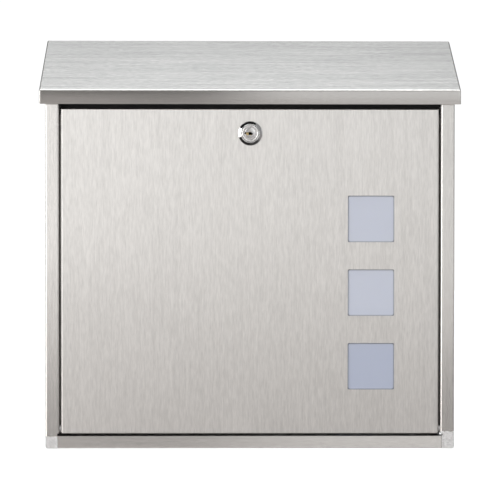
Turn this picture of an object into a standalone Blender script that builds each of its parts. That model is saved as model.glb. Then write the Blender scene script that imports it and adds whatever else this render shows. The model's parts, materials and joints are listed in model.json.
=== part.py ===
# Wall-mounted mailbox in folded stainless sheet, with a sloping roof lid that lifts for
# mail, a bottom-hinged front door with three frosted windows, and a round cam lock.
#
# Frame: +Z up, +X to the right when facing the door, -Y towards the person at the door,
# +Y into the wall.  The origin is the middle of the back panel's rear face, on the wall.
# Heights below are counted from the underside of the box, because that is how the sheets
# are laid out; the root empty lowers everything by WALL_FACE_HEIGHT.

import math

import bmesh
import bpy
from mathutils import Matrix, Vector

# ---------------------------------------------------------------- driving dimensions, mm
WALL_FACE_HEIGHT = 180.0  # origin above the underside
SHEET = 1.0               # all folded sheet
BEND_IN = 0.5             # inner bend radius
GAP = 0.3                 # between pieces that touch

BODY_W = 370.0            # outside of the side walls
BODY_D = 105.0            # wall to the front face of posts and door
POST_W = 12.5             # front flange of each side panel
JAMB_D = 15.5             # depth of the jamb behind the front face
STOP_W = 8.0              # door stop turned in from the jamb
CORNER_R = 2.0            # outer bottom corners

LID_W = 380.0
LID_FRONT_Y = -111.0
LID_REAR_Y = -5.0
LID_FRONT_Z = 323.9       # top of the fold at the front
LID_REAR_Z = 375.7        # plane of the sheet carried to the rear edge; the fold rounds 0.6 off it
LID_LIP = 12.8            # depth of lip and side flaps
LID_PIVOT_Y, LID_PIVOT_Z = -13.0, 365.2
LID_PIN_R = 2.0
LID_FLANGE_HALF = 181.5   # rear drip flange runs between the side walls

DOOR_W = 341.2
DOOR_Z0, DOOR_Z1 = 13.3, 307.5
DOOR_DEPTH = 12.0
DOOR_LIP = 8.0
DOOR_PIVOT_Y, DOOR_PIVOT_Z = -101.7, 18.0
DOOR_PIN_R = 1.5

RAIL_TOP_Z = 11.3         # front up-flange of the bottom panel
BACK_TOP_Z = 358.0
CROSS_RAIL_Z0 = 297.0     # lower edge of the latch rail
CROSS_RAIL_Y = -89.2
STRIP_Z0, STRIP_Z1 = 302.0, 317.0  # draught strip above the door's top edge
STRIP_T = 1.6

WINDOW = 42.0
WINDOW_X = 109.4
WINDOW_Z = (207.9, 141.2, 74.5)
WINDOW_R = 1.0

LOCK_Z = 285.0
LOCK_HEAD_R = 11.0
LOCK_BODY_R = 9.5
PLUG_HEAD_R = 7.95
PLUG_R = 6.0
CAM_Y0, CAM_Y1 = -86.5, -84.5
CAM_REACH = 23.0

SLOPE = (LID_REAR_Z - LID_FRONT_Z) / (LID_REAR_Y - LID_FRONT_Y)
PHI = math.atan(SLOPE)

# ---------------------------------------------------------------- empty scene
for obj in list(bpy.data.objects):
    bpy.data.objects.remove(obj, do_unlink=True)
for mesh in list(bpy.data.meshes):
    bpy.data.meshes.remove(mesh)


def material(name, colour, metallic, roughness, alpha=1.0):
    mat = bpy.data.materials.new(name)
    mat.use_nodes = True
    shader = mat.node_tree.nodes["Principled BSDF"]
    shader.inputs["Base Color"].default_value = (*colour, 1.0)
    shader.inputs["Metallic"].default_value = metallic
    shader.inputs["Roughness"].default_value = roughness
    shader.inputs["Alpha"].default_value = alpha
    mat.diffuse_color = (*colour, 1.0)
    return mat


STEEL = material("brushed_stainless", (0.66, 0.65, 0.63), 1.0, 0.32)
STEEL_LID = material("brushed_stainless_lid", (0.64, 0.63, 0.61), 1.0, 0.32)
PLATE = material("mill_stainless", (0.60, 0.59, 0.57), 1.0, 0.42)
CHROME = material("polished_chrome", (0.78, 0.78, 0.78), 1.0, 0.07)
SATIN = material("satin_nickel", (0.62, 0.61, 0.59), 1.0, 0.28)
ZINC = material("zinc_plated", (0.58, 0.59, 0.60), 1.0, 0.36)
BRASS = material("brass", (0.72, 0.52, 0.22), 1.0, 0.30)
ACRYLIC = material("frosted_acrylic", (0.72, 0.74, 0.83), 0.0, 0.45)
RUBBER = material("black_rubber", (0.03, 0.03, 0.03), 0.0, 0.80)
NYLON = material("nylon", (0.80, 0.79, 0.75), 0.0, 0.50)


# ---------------------------------------------------------------- frame of empties
def axis_empty(name, at, parent=None):
    """An empty at a point given in millimetres from the underside of the box."""
    empty = bpy.data.objects.new(name, None)
    bpy.context.scene.collection.objects.link(empty)
    empty.empty_display_size = 0.02
    origin = Vector(at)
    if parent:
        empty.parent = parent
        empty.location = (origin - Vector(parent["at"])) / 1000
    else:
        empty.location = (origin - Vector((0, 0, WALL_FACE_HEIGHT))) / 1000
    empty["at"] = tuple(origin)
    return empty


BOX = axis_empty("mailbox", (0, 0, 0))
LID = axis_empty("lid_hinge_axis", (0, LID_PIVOT_Y, LID_PIVOT_Z), BOX)
DOOR = axis_empty("door_hinge_axis", (0, DOOR_PIVOT_Y, DOOR_PIVOT_Z), BOX)
PLUG = axis_empty("lock_turn_axis", (0, -BODY_D, LOCK_Z), DOOR)


# ---------------------------------------------------------------- shape helpers
def finish(bm, name, mat, parent, smooth=None, helper=False):
    """Turns a bmesh drawn in millimetres from the underside into an object under parent."""
    bmesh.ops.recalc_face_normals(bm, faces=bm.faces)
    at = Vector(parent["at"])
    for v in bm.verts:
        v.co = (v.co - at) / 1000
    mesh = bpy.data.meshes.new(name)
    bm.to_mesh(mesh)
    bm.free()
    if smooth is not None:
        mesh.shade_smooth()
        mesh.set_sharp_from_angle(angle=math.radians(smooth))
    if mat:
        mesh.materials.append(mat)
    obj = bpy.data.objects.new(name, mesh)
    bpy.context.scene.collection.objects.link(obj)
    obj.parent = parent
    if helper:
        obj.hide_render = True
        obj.display_type = "WIRE"
    return obj


def boolean(obj, tool, operation="DIFFERENCE"):
    mod = obj.modifiers.new(tool.name, "BOOLEAN")
    mod.object = tool
    mod.operation = operation
    mod.solver = "EXACT"
    return obj


def cutter(bm, name, parent):
    return finish(bm, "cut_" + name, None, parent, helper=True)


def sheet(points, side=1, t=SHEET, r_in=BEND_IN, seg=4):
    """Closed outline of a bent sheet.

    points run along one face; the sheet lies on the left of the path (side=1) or on its
    right (side=-1).  Each inner corner becomes a concentric pair of arcs.
    """
    pts = [Vector((p[0], p[1] * side)) for p in points]
    face, back = [], []
    for i, p in enumerate(pts):
        before = (p - pts[i - 1]).normalized() if i else None
        after = (pts[i + 1] - p).normalized() if i + 1 < len(pts) else None
        if before is None or after is None:
            d = after or before
            face.append(p)
            back.append(p + Vector((-d.y, d.x)) * t)
            continue
        turn = math.atan2(before.cross(after), before.dot(after))
        sign = 1 if turn > 0 else -1
        radius = r_in + t if turn > 0 else r_in
        start = p - before * radius * math.tan(abs(turn) / 2)
        centre = start + Vector((-before.y, before.x)) * radius * sign
        for k in range(seg + 1):
            a = turn * k / seg
            spoke = start - centre
            spoke = Vector(
                (
                    spoke.x * math.cos(a) - spoke.y * math.sin(a),
                    spoke.x * math.sin(a) + spoke.y * math.cos(a),
                )
            )
            face.append(centre + spoke)
            back.append(centre + spoke * ((radius - sign * t) / radius))
    outline = face + back[::-1]
    return [Vector((p.x, p.y * side)) for p in outline]


PLANES = {
    "x": lambda u, v, w: (w, u, v),  # outline in (y, z)
    "y": lambda u, v, w: (u, w, v),  # outline in (x, z)
    "z": lambda u, v, w: (u, v, w),  # outline in (x, y)
}


def prism(outline, axis, low, high, bm=None, flip_x=False):
    """Extrudes a closed outline along an axis between two levels."""
    bm = bm or bmesh.new()
    place = PLANES[axis]

    def at(p, w):
        x, y, z = place(p[0], p[1], w)
        return (-x if flip_x else x, y, z)

    lower = [bm.verts.new(at(p, low)) for p in outline]
    upper = [bm.verts.new(at(p, high)) for p in outline]
    bm.faces.new(lower)
    bm.faces.new(upper[::-1])
    n = len(outline)
    for i in range(n):
        j = (i + 1) % n
        bm.faces.new((lower[i], upper[i], upper[j], lower[j]))
    return bm


def block(x0, x1, y0, y1, z0, z1, bm=None):
    return prism([(x0, y0), (x1, y0), (x1, y1), (x0, y1)], "z", z0, z1, bm)


def circle(r, n, cu=0.0, cv=0.0, phase=0.0):
    return [
        (
            cu + r * math.cos(2 * math.pi * k / n + phase),
            cv + r * math.sin(2 * math.pi * k / n + phase),
        )
        for k in range(n)
    ]


def turned(profile, n, axis, centre):
    """Solid of revolution. profile is (radius, station) from one end of the axis to the
    other along the outside and back along the bore; a closed loop if it has a bore."""
    bm = bmesh.new()
    hollow = profile[0][0] > 0 and profile[-1][0] > 0
    rings = []
    for r, s in profile:
        ring = []
        if r <= 0:
            ring = [bm.verts.new(spin_point(0, 0, s, axis, centre))]
        else:
            for k in range(n):
                a = 2 * math.pi * k / n
                ring.append(
                    bm.verts.new(
                        spin_point(r * math.cos(a), r * math.sin(a), s, axis, centre)
                    )
                )
        rings.append(ring)
    pairs = list(zip(rings, rings[1:]))
    if hollow:
        pairs.append((rings[-1], rings[0]))
    for a, b in pairs:
        for k in range(n):
            j = (k + 1) % n
            if len(a) == 1:
                bm.faces.new((a[0], b[k], b[j]))
            elif len(b) == 1:
                bm.faces.new((a[k], b[0], a[j]))
            else:
                bm.faces.new((a[k], b[k], b[j], a[j]))
    return bm


def spin_point(u, v, s, axis, centre):
    cx, cy, cz = centre
    if axis == "x":
        return (cx + s, cy + u, cz + v)
    if axis == "y":
        return (cx + u, cy + s, cz + v)
    return (cx + u, cy + v, cz + s)


def ring_of(half_w, low, high, inset, radius, seg=3):
    """Rounded rectangle in (u, v) drawn in from its sides by inset."""
    r = max(radius - inset, 0.08)
    u0, u1 = -half_w + inset, half_w - inset
    v0, v1 = low + inset, high - inset
    points = []
    for cu, cv, a0 in (
        (u1 - r, v1 - r, 0.0),
        (u0 + r, v1 - r, 90.0),
        (u0 + r, v0 + r, 180.0),
        (u1 - r, v0 + r, 270.0),
    ):
        for k in range(seg + 1):
            a = math.radians(a0 + 90.0 * k / seg)
            points.append((cu + r * math.cos(a), cv + r * math.sin(a)))
    return points


def loft(rings):
    """Closed body through rings of equal count, with the first and last ring filled."""
    bm = bmesh.new()
    made = [[bm.verts.new(p) for p in ring] for ring in rings]
    n = len(made[0])
    bm.faces.new(made[0])
    bm.faces.new(made[-1][::-1])
    for a, b in zip(made, made[1:]):
        for k in range(n):
            j = (k + 1) % n
            bm.faces.new((a[k], b[k], b[j], a[j]))
    return bm


def lid_top(y):
    return LID_FRONT_Z + SLOPE * (y - LID_FRONT_Y)


def lid_under(y):
    return lid_top(y) - SHEET


# ---------------------------------------------------------------- side panels
# Wall, front flange, jamb and door stop are one folded sheet; a bottom flange is welded on.
def side_panel(name, flip):
    half = BODY_W / 2
    plan = sheet(
        [
            (half, 0.0),
            (half, -BODY_D),
            (half - POST_W, -BODY_D),
            (half - POST_W, -BODY_D + JAMB_D - SHEET),
            (half - POST_W - STOP_W, -BODY_D + JAMB_D - SHEET),
        ],
        side=-1,
        seg=5,
    )
    obj = finish(prism(plan, "z", 0.0, 374.0, flip_x=flip), name, STEEL, BOX)

    def tool(label, bm):
        return cutter(bm, name + "_" + label, BOX)

    corner = half - POST_W + 1.4  # seam between post and bottom flange
    boolean(
        obj,
        tool(
            "seam",
            prism(
                [
                    (150.0, -2.0),
                    (corner, -2.0),
                    (corner, RAIL_TOP_Z + 0.3),
                    (corner + 0.9, RAIL_TOP_Z + 1.0),
                    (corner + 0.1, RAIL_TOP_Z + 2.4),
                    (150.0, RAIL_TOP_Z + 2.4),
                ],
                "y",
                -BODY_D - 2,
                -BODY_D + JAMB_D + 4,
                flip_x=flip,
            ),
        ),
    )
    foot = sheet([(half, 24.0), (half, 0.0), (half - POST_W, 0.0)], side=-1, r_in=1.0)
    base = finish(
        prism(foot, "y", -BODY_D + 1.3, -SHEET - GAP, flip_x=flip),
        "cut_" + name + "_foot",
        None,
        BOX,
        helper=True,
    )
    boolean(obj, base, "UNION")
    arc = [
        (half - CORNER_R + CORNER_R * math.sin(a), CORNER_R - CORNER_R * math.cos(a))
        for a in (math.radians(90 * k / 5) for k in range(6))
    ]
    boolean(
        obj,
        tool(
            "corner",
            prism(
                [(half - CORNER_R, -2.0), (half + 2.0, -2.0), (half + 2.0, CORNER_R)]
                + arc[::-1],
                "y",
                -BODY_D - 2,
                2.0,
                flip_x=flip,
            ),
        ),
    )
    # Top edge: parallel to the lid, an ear round the pivot, then down to the wall.
    clear = 1.0
    ear = (lid_under(LID_PIVOT_Y) - LID_PIVOT_Z) * math.cos(PHI) - clear
    roof = [(-BODY_D - 3.0, lid_under(-BODY_D - 3.0) - clear / math.cos(PHI))]
    for k in range(7):
        a = math.radians(90) + PHI - (PHI + math.radians(56)) * k / 6
        roof.append((LID_PIVOT_Y + ear * math.cos(a), LID_PIVOT_Z + ear * math.sin(a)))
    roof += [(0.0, 352.0), (3.0, 348.0), (3.0, 390.0), (-BODY_D - 3.0, 390.0)]
    boolean(obj, tool("roof", prism(roof, "x", 150.0, 200.0, flip_x=flip)))
    boolean(
        obj,
        tool(
            "lid_hole",
            prism(
                circle(LID_PIN_R + 0.1, 24, LID_PIVOT_Y, LID_PIVOT_Z),
                "x",
                182.0,
                187.0,
                flip_x=flip,
            ),
        ),
    )
    boolean(
        obj,
        tool(
            "door_hole",
            prism(
                circle(DOOR_PIN_R + 0.1, 20, DOOR_PIVOT_Y, DOOR_PIVOT_Z),
                "x",
                171.0,
                175.0,
                flip_x=flip,
            ),
        ),
    )
    return obj


side_panel("side_panel_right", False)
side_panel("side_panel_left", True)

# ---------------------------------------------------------------- back panel
BACK_HALF = BODY_W / 2 - SHEET - GAP
back = finish(
    prism(
        sheet(
            [
                (-BACK_HALF, -14.0),
                (-BACK_HALF, 0.0),
                (BACK_HALF, 0.0),
                (BACK_HALF, -14.0),
            ],
            side=-1,
        ),
        "z",
        0.0,
        BACK_TOP_Z,
    ),
    "back_panel",
    PLATE,
    BOX,
)
for sx in (-1, 1):
    for z0, z1 in ((-2.0, 20.0), (344.0, 362.0)):
        x0, x1 = sorted((sx * (BACK_HALF - 1.8), sx * (BACK_HALF + 2.0)))
        boolean(
            back,
            cutter(block(x0, x1, -20.0, 2.0, z0, z1), f"back_end_{sx}_{int(z0)}", BOX),
        )
    # keyhole slots above, plain holes below
    head, slot = 4.6, 2.6
    keyhole = []
    for k in range(17):
        a = math.radians(90 + 35 + (360 - 70) * k / 16)
        keyhole.append((sx * 135.0 + head * math.cos(a), 300.0 + head * math.sin(a)))
    for k in range(9):
        a = math.radians(180 * k / 8)
        keyhole.append((sx * 135.0 + slot * math.cos(a), 309.0 + slot * math.sin(a)))
    boolean(back, cutter(prism(keyhole, "y", -4.0, 2.0), f"keyhole_{sx}", BOX))
    boolean(
        back,
        cutter(
            prism(circle(3.0, 24, sx * 135.0, 52.0), "y", -4.0, 2.0),
            f"wall_hole_{sx}",
            BOX,
        ),
    )

# ---------------------------------------------------------------- bottom panel
seam_x = BODY_W / 2 - POST_W + 1.1
floor_x = BODY_W / 2 - POST_W - GAP
bottom = finish(
    prism(
        sheet(
            [
                (-SHEET - GAP, 14.0),
                (-SHEET - GAP, 0.0),
                (-BODY_D, 0.0),
                (-BODY_D, RAIL_TOP_Z),
            ],
            side=-1,
        ),
        "x",
        -seam_x,
        seam_x,
    ),
    "bottom_panel",
    STEEL,
    BOX,
)
for sx in (-1, 1):
    x0, x1 = sorted((sx * floor_x, sx * (seam_x + 3.0)))
    boolean(
        bottom, cutter(block(x0, x1, -BODY_D + 1.25, 3.0, -2.0, 20.0), f"floor_end_{sx}", BOX)
    )
    joggle = [
        (floor_x - 2.0, 0.1),
        (floor_x - 0.1, 0.1),
        (floor_x - 0.1, 1.3),
        (BODY_W / 2 - 1.8, 1.3),
        (BODY_W / 2 - 1.8, 2.3),
        (floor_x - 2.0, 2.3),
    ]
    lap = finish(
        prism(joggle, "y", -BODY_D + 1.6, -2.6, flip_x=sx < 0),
        f"cut_floor_lap_{sx}",
        None,
        BOX,
        helper=True,
    )
    boolean(bottom, lap, "UNION")
    for hy in (-80.0, -25.0):
        boolean(
            bottom,
            cutter(
                prism(circle(3.0, 20, sx * 120.0, hy), "z", -3.0, 4.0),
                f"drain_{sx}_{int(-hy)}",
                BOX,
            ),
        )

# ---------------------------------------------------------------- cross rail behind the lid lip
REST = 2.2 + 2 * GAP  # thickness of the lid rest plus its gaps


def rail_top(y):
    return lid_under(y) - REST / math.cos(PHI)


rail_end_y = CROSS_RAIL_Y + 13.5
finish(
    prism(
        sheet(
            [
                (CROSS_RAIL_Y, CROSS_RAIL_Z0),
                (CROSS_RAIL_Y, rail_top(CROSS_RAIL_Y)),
                (rail_end_y, rail_top(rail_end_y)),
            ],
            side=-1,
        ),
        "x",
        -BACK_HALF,
        BACK_HALF,
    ),
    "top_front_rail",
    STEEL,
    BOX,
)

# Black draught strip on the fronts of the door stops: it closes the slot between the door's top
# edge and the lid's lip, clear of the back of the door.
strip_y1 = -BODY_D + JAMB_D - SHEET - GAP
strip_y0 = strip_y1 - STRIP_T
strip_x = BODY_W / 2 - POST_W - 0.4
finish(
    prism(
        [
            (strip_y1, STRIP_Z0),
            (strip_y1, STRIP_Z1),
            (strip_y0 + 0.5, STRIP_Z1),
            (strip_y0, STRIP_Z1 - 0.5),
            (strip_y0, STRIP_Z0 + 0.5),
            (strip_y0 + 0.5, STRIP_Z0),
        ],
        "x",
        -strip_x,
        strip_x,
    ),
    "seal_strip",
    RUBBER,
    BOX,
)


# ---------------------------------------------------------------- rubber rests
def disc(name, centre, normal, radius, thick, mat, parent, n=24):
    """Button with a small edge break, its middle at centre."""
    h, c = thick / 2, 0.35
    profile = [(0, -h), (radius - c, -h), (radius, -h + c), (radius, h - c), (radius - c, h), (0, h)]
    bm = turned(profile, n, "z", (0, 0, 0))
    turn = Vector((0, 0, 1)).rotation_difference(Vector(normal)).to_matrix().to_4x4()
    bmesh.ops.transform(bm, matrix=Matrix.Translation(Vector(centre)) @ turn, verts=bm.verts)
    return finish(bm, name, mat, parent, smooth=40)


mid_y = CROSS_RAIL_Y + 7.6
drop = REST / 2 / math.cos(PHI)
for label, sx in (("left", -1), ("right", 1)):
    disc(
        "lid_rest_" + label,
        (sx * 120.0, mid_y + math.sin(PHI) * 0.0, lid_under(mid_y) - drop),
        (0.0, -math.sin(PHI), math.cos(PHI)),
        4.0,
        2.2,
        RUBBER,
        BOX,
    )
    disc(
        "door_bumper_" + label,
        (sx * 168.3, (-BODY_D + DOOR_DEPTH - BODY_D + JAMB_D - SHEET) / 2, 290.0),
        (0.0, 1.0, 0.0),
        3.4,
        JAMB_D - SHEET - DOOR_DEPTH - 2 * GAP,
        RUBBER,
        BOX,
    )

# ---------------------------------------------------------------- door pivots
jamb_x = BODY_W / 2 - POST_W
for label, sx in (("left", -1), ("right", 1)):
    pivot = (0.0, DOOR_PIVOT_Y, DOOR_PIVOT_Z)
    finish(
        turned(
            [
                (0, sx * 167.0),
                (DOOR_PIN_R - 0.3, sx * 167.0),
                (DOOR_PIN_R, sx * 167.3),
                (DOOR_PIN_R, sx * (jamb_x + SHEET + GAP)),
                (2.0, sx * (jamb_x + SHEET + GAP)),
                (2.0, sx * (jamb_x + SHEET + GAP + 1.3)),
                (0, sx * (jamb_x + SHEET + GAP + 1.3)),
            ],
            20,
            "x",
            pivot,
        ),
        "door_pivot_pin_" + label,
        ZINC,
        BOX,
        smooth=40,
    )
    a, b = sx * (DOOR_W / 2 + GAP), sx * (jamb_x - GAP)
    finish(
        turned([(DOOR_PIN_R + 0.15, a), (2.9, a), (2.9, b), (DOOR_PIN_R + 0.15, b)], 24, "x", pivot),
        "door_pivot_washer_" + label,
        NYLON,
        BOX,
        smooth=40,
    )

# ---------------------------------------------------------------- lid
# Sloping sheet with lip, side flaps and rear drip flange, all the same depth.
half_lid = LID_W / 2
rings = []
for d, t in sheet([(5.0, 0.0), (0.0, 0.0), (0.0, LID_LIP)], side=-1, seg=6):
    rings.append(
        [
            (u, v, lid_top(v) - t)
            for u, v in ring_of(half_lid, LID_FRONT_Y, LID_REAR_Y, d, 1.2)
        ]
    )
lid = finish(loft(rings), "lid_shell", STEEL_LID, LID)
for sx in (-1, 1):
    x0, x1 = sorted((sx * LID_FLANGE_HALF, sx * (half_lid - SHEET - 0.1)))
    boolean(
        lid,
        cutter(
            block(x0, x1, LID_REAR_Y - 1.6, LID_REAR_Y + 1.0, 350.0, LID_REAR_Z - 2.7),
            f"lid_flange_end_{sx}",
            LID,
        ),
    )
    boolean(
        lid,
        cutter(
            prism(
                circle(LID_PIN_R + 0.15, 24, LID_PIVOT_Y, LID_PIVOT_Z),
                "x",
                half_lid - 2.0,
                half_lid + 1.0,
                flip_x=sx < 0,
            ),
            f"lid_pin_hole_{sx}",
            LID,
        ),
    )

for label, sx in (("left", -1), ("right", 1)):
    pivot = (0.0, LID_PIVOT_Y, LID_PIVOT_Z)
    finish(
        turned(
            [
                (0, sx * 179.5),
                (LID_PIN_R - 0.5, sx * 179.5),
                (LID_PIN_R, sx * 180.0),
                (LID_PIN_R, sx * (half_lid - 0.1)),
                (0, sx * (half_lid - 0.1)),
            ],
            24,
            "x",
            pivot,
        ),
        "lid_pivot_pin_" + label,
        ZINC,
        LID,
        smooth=40,
    )
    a, b = sx * (BODY_W / 2 + GAP), sx * (half_lid - SHEET - GAP)
    finish(
        turned([(LID_PIN_R + 0.15, a), (3.9, a), (3.9, b), (LID_PIN_R + 0.15, b)], 24, "x", pivot),
        "lid_pivot_spacer_" + label,
        NYLON,
        LID,
        smooth=40,
    )
    a, b = sx * (BODY_W / 2 - SHEET - GAP), sx * (BODY_W / 2 - SHEET - GAP - 0.9)
    finish(
        turned([(LID_PIN_R + 0.15, a), (3.9, a), (3.9, b), (LID_PIN_R + 0.15, b)], 24, "x", pivot),
        "lid_pivot_clip_" + label,
        ZINC,
        LID,
        smooth=40,
    )

# ---------------------------------------------------------------- door
half_door = DOOR_W / 2
rings = []
for d, t in sheet(
    [(5.0, 0.0), (0.0, 0.0), (0.0, DOOR_DEPTH), (DOOR_LIP, DOOR_DEPTH)], side=-1, seg=5
):
    rings.append(
        [
            (u, -BODY_D + t, v)
            for u, v in ring_of(half_door, DOOR_Z0, DOOR_Z1, d, 1.0)
        ]
    )
door = finish(loft(rings), "door_panel", STEEL, DOOR)
for number, wz in enumerate(WINDOW_Z, 1):
    outline = [
        (WINDOW_X + u, wz + v)
        for u, v in ring_of(WINDOW / 2, -WINDOW / 2, WINDOW / 2, 0.0, WINDOW_R)
    ]
    boolean(
        door,
        cutter(prism(outline, "y", -BODY_D - 2, -BODY_D + 3), f"window_{number}", DOOR),
    )
boolean(
    door,
    cutter(
        prism(circle(LOCK_BODY_R + 0.2, 48, 0.0, LOCK_Z), "y", -BODY_D - 2, -BODY_D + 3),
        "lock_hole",
        DOOR,
    ),
)
for sx in (-1, 1):
    boolean(
        door,
        cutter(
            prism(
                circle(DOOR_PIN_R + 0.1, 20, DOOR_PIVOT_Y, DOOR_PIVOT_Z),
                "x",
                half_door - 2.5,
                half_door + 1.5,
                flip_x=sx < 0,
            ),
            f"door_pin_hole_{sx}",
            DOOR,
        ),
    )

# ---------------------------------------------------------------- windows
PANE_Y = -BODY_D + SHEET + GAP
PANE_T = 2.0
z_low, z_high = WINDOW_Z[2] - 29.0, WINDOW_Z[0] + 29.0
mid_z = (z_low + z_high) / 2
pane = [
    (WINDOW_X + u, mid_z + v)
    for u, v in ring_of(28.0, z_low - mid_z, z_high - mid_z, 0.0, 2.0)
]
finish(prism(pane, "y", PANE_Y, PANE_Y + PANE_T), "window_pane", ACRYLIC, DOOR)

HOLD_Y = PANE_Y + PANE_T + GAP
HOLD_HALF_W, HOLD_HALF_H = 38.0, (z_high - z_low) / 2 + 8.0
plate = [
    (WINDOW_X + u, mid_z + v)
    for u, v in ring_of(HOLD_HALF_W, -HOLD_HALF_H, HOLD_HALF_H, 0.0, 3.0)
]
retainer = finish(prism(plate, "y", HOLD_Y, HOLD_Y + SHEET), "window_retainer", PLATE, DOOR)
for number, wz in enumerate(WINDOW_Z, 1):
    outline = [
        (WINDOW_X + u, wz + v)
        for u, v in ring_of(23.5, -23.5, 23.5, 0.0, 2.0)
    ]
    boolean(
        retainer,
        cutter(prism(outline, "y", HOLD_Y - 2, HOLD_Y + 3), f"retainer_{number}", DOOR),
    )
number = 0
for sx in (-1, 1):
    for sz in (1, -1):
        number += 1
        px, pz = WINDOW_X + sx * 33.0, mid_z + sz * (HOLD_HALF_H - 5.0)
        boolean(
            retainer,
            cutter(
                prism(circle(1.75, 20, px, pz), "y", HOLD_Y - 2, HOLD_Y + 3),
                f"retainer_stud_{number}",
                DOOR,
            ),
        )
        finish(
            turned(
                [
                    (0, PANE_Y),
                    (2.1, PANE_Y),
                    (2.1, PANE_Y + 0.6),
                    (1.5, PANE_Y + 0.9),
                    (1.5, PANE_Y + 8.3),
                    (1.2, PANE_Y + 8.6),
                    (0, PANE_Y + 8.6),
                ],
                16,
                "y",
                (px, 0, pz),
            ),
            f"window_stud_{number}",
            ZINC,
            DOOR,
            smooth=40,
        )
        y0 = HOLD_Y + SHEET + GAP
        nut = finish(
            prism(circle(3.18, 6, px, pz, math.radians(30)), "y", y0, y0 + 2.4),
            f"window_nut_{number}",
            ZINC,
            DOOR,
        )
        boolean(
            nut,
            cutter(
                prism(circle(1.62, 16, px, pz), "y", y0 - 2, y0 + 5),
                f"window_nut_bore_{number}",
                DOOR,
            ),
        )

# ---------------------------------------------------------------- lock housing, nut and washer
F = -BODY_D
finish(
    turned(
        [
            (8.35, F - 2.35),
            (9.6, F - 2.4),
            (10.5, F - 2.0),
            (10.9, F - 1.3),
            (LOCK_HEAD_R, F - 0.6),
            (LOCK_HEAD_R, F - GAP),
            (LOCK_BODY_R, F - GAP),
            (LOCK_BODY_R, -88.0),
            (PLUG_R + 0.2, -88.0),
            (PLUG_R + 0.2, F + 0.1),
            (PLUG_HEAD_R + 0.2, F + 0.1),
            (PLUG_HEAD_R + 0.2, F - 2.2),
        ],
        64,
        "y",
        (0, 0, LOCK_Z),
    ),
    "lock_housing",
    CHROME,
    DOOR,
    smooth=35,
)
inside = F + SHEET + GAP
finish(
    turned(
        [
            (LOCK_BODY_R + 0.25, inside),
            (13.0, inside),
            (13.0, inside + 0.8),
            (LOCK_BODY_R + 0.25, inside + 0.8),
        ],
        40,
        "y",
        (0, 0, LOCK_Z),
    ),
    "lock_washer",
    ZINC,
    DOOR,
    smooth=40,
)
nut_y = inside + 0.8 + GAP
nut = finish(
    prism(circle(12.0 / math.cos(math.radians(30)), 6, 0.0, LOCK_Z), "y", nut_y, nut_y + 4.0),
    "lock_nut",
    ZINC,
    DOOR,
)
boolean(
    nut,
    cutter(
        prism(circle(LOCK_BODY_R + 0.25, 40, 0.0, LOCK_Z), "y", nut_y - 2, nut_y + 6),
        "lock_nut_bore",
        DOOR,
    ),
)

# ---------------------------------------------------------------- lock plug and what turns with it
CAM_SQUARE = 7.0
plug = finish(
    turned(
        [
            (0, F - 2.0),
            (5.6, F - 2.0),
            (5.8, F - 1.75),
            (6.2, F - 1.75),
            (6.4, F - 2.0),
            (7.5, F - 2.0),
            (PLUG_HEAD_R, F - 1.6),
            (PLUG_HEAD_R, F - GAP),
            (PLUG_R, F - GAP),
            (PLUG_R, CAM_Y0 - GAP),
            (CAM_SQUARE / 2 / math.cos(math.radians(45)), CAM_Y0 - GAP),
            (0, CAM_Y0 - GAP),
        ],
        48,
        "y",
        (0, 0, LOCK_Z),
    ),
    "lock_plug",
    SATIN,
    PLUG,
    smooth=35,
)
tenon = finish(
    block(
        -CAM_SQUARE / 2,
        CAM_SQUARE / 2,
        CAM_Y0 - 3.0,
        CAM_Y1 + 0.2,
        LOCK_Z - CAM_SQUARE / 2,
        LOCK_Z + CAM_SQUARE / 2,
    ),
    "cut_plug_tenon",
    None,
    PLUG,
    helper=True,
)
boolean(plug, tenon, "UNION")
boolean(
    plug,
    cutter(block(-4.0, 4.0, F - 4.0, -93.5, LOCK_Z - 1.1, LOCK_Z + 1.1), "keyway", PLUG),
)
boolean(
    plug,
    cutter(prism(circle(2.1, 20, 0.0, LOCK_Z), "y", -91.5, CAM_Y1 + 3.0), "screw_bore", PLUG),
)
WAFER_Y = (-103.4, -101.0, -98.6, -96.2)
for number, wy in enumerate(WAFER_Y, 1):
    boolean(
        plug,
        cutter(
            block(-8.0, 8.0, wy - 0.5, wy + 0.5, LOCK_Z - 3.4, LOCK_Z + 3.4),
            f"wafer_slot_{number}",
            PLUG,
        ),
    )
    # Flat brass wafer with a window for the key, its ends on the shear line.
    reach = PLUG_R - 0.15
    outline = []
    for a0 in (0.0, 180.0):
        spread = math.degrees(math.asin(3.1 / reach))
        for k in range(5):
            a = math.radians(a0 - spread + 2 * spread * k / 4)
            outline.append((reach * math.cos(a), LOCK_Z + reach * math.sin(a)))
    wafer = finish(
        prism(outline, "y", wy - 0.3, wy + 0.3), f"lock_wafer_{number}", BRASS, PLUG
    )
    shift = (0.5, -0.4, 0.3, -0.5)[number - 1]
    boolean(
        wafer,
        cutter(
            block(-2.9 + shift, 2.9 + shift, wy - 2, wy + 2, LOCK_Z - 1.25, LOCK_Z + 1.25),
            f"wafer_window_{number}",
            PLUG,
        ),
    )

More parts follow.
